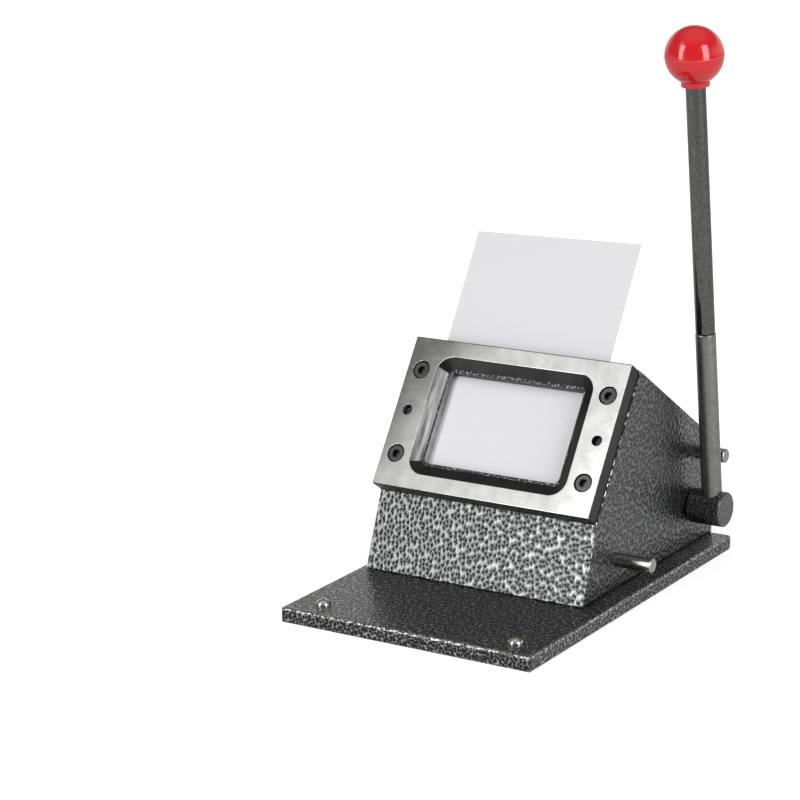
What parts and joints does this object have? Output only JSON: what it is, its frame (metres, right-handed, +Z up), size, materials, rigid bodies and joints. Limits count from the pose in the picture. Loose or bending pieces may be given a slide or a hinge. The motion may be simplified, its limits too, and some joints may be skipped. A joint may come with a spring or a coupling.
{
  "type": "card die cutter",
  "caption": "Bench lever press that punches cards out of a plastic sheet standing in a slot behind a leaning die plate.",
  "frame": {"origin": "centre of the base plate's underside, which rests on the bench", "axes": "+X to the right, towards the lever; +Y from the die plate to the back; +Z up"},
  "size_m": [0.1711, 0.2302, 0.3068],
  "materials": {
    "paint": "hammertone enamel",
    "ground_steel": "surface ground",
    "tool_steel": "milled",
    "bright_steel": "ground bright",
    "polished_rod": "polished",
    "lever_steel": "turned, matte",
    "nickel_screws": "nickel plated",
    "black_screws": "black oxide",
    "knob_plastic": "glossy moulded",
    "sheet_plastic": "smooth white PVC",
    "bronze": "machined bronze"
  },
  "bodies": {
    "root": {"base_plate": "paint", "front_screws": "nickel_screws", "left_wall": "paint", "right_wall": "paint", "front_wall": "paint", "roof_plate": "paint", "rear_cover": "paint", "cover_screws": "black_screws", "base_screws": "black_screws", "die_plate": "ground_steel", "die_plate_screws": "black_screws", "dowel_pins": "bright_steel", "slot_shim": "tool_steel", "pvc_sheet": "sheet_plastic", "guide_plate": "tool_steel", "guide_plate_screws": "black_screws", "guide_posts": "bright_steel", "return_springs": "bright_steel", "left_bush": "bronze", "right_bush": "bronze", "rear_stop_pin": "bright_steel", "front_stop_pin": "bright_steel"},
    "lever": {"main_shaft": "bright_steel", "cam": "tool_steel", "cam_pin": "bright_steel", "lever_boss": "paint", "lever_stub": "lever_steel", "lever_rod": "polished_rod", "ball_knob": "knob_plastic", "thrust_washer": "bronze", "retaining_ring": "black_screws"},
    "ram": {"punch": "tool_steel", "punch_screws": "black_screws", "ram_plate": "tool_steel", "ram_fork": "tool_steel", "fork_screws": "black_screws", "roller_pin": "bright_steel", "card_blank": "sheet_plastic"},
    "roller": {"cam_roller": "bright_steel"}
  },
  "joints": [
    {"name": "lever_turn", "type": "hinge", "parent": "root", "child": "lever", "pos_m": [0, 0.09, 0.0315], "axis": [1, 0, 0], "range_deg": [0, 83], "stiffness_Nm_per_rad": 0.35, "springref_deg": -54.43},
    {"name": "ram_slide", "type": "slide", "parent": "root", "child": "ram", "axis": [0, -0.829, 0.5592], "range_m": [0, 0.006], "deforming": ["return_springs"]},
    {"name": "roller_turn", "type": "hinge", "parent": "ram", "child": "roller", "pos_m": [0, 0.07176, 0.0438], "axis": [1, 0, 0], "continuous": true}
  ],
  "couplings": [
    {"joint": "ram_slide", "follows": "lever_turn", "m_per_rad": 0.004138}
  ]
}
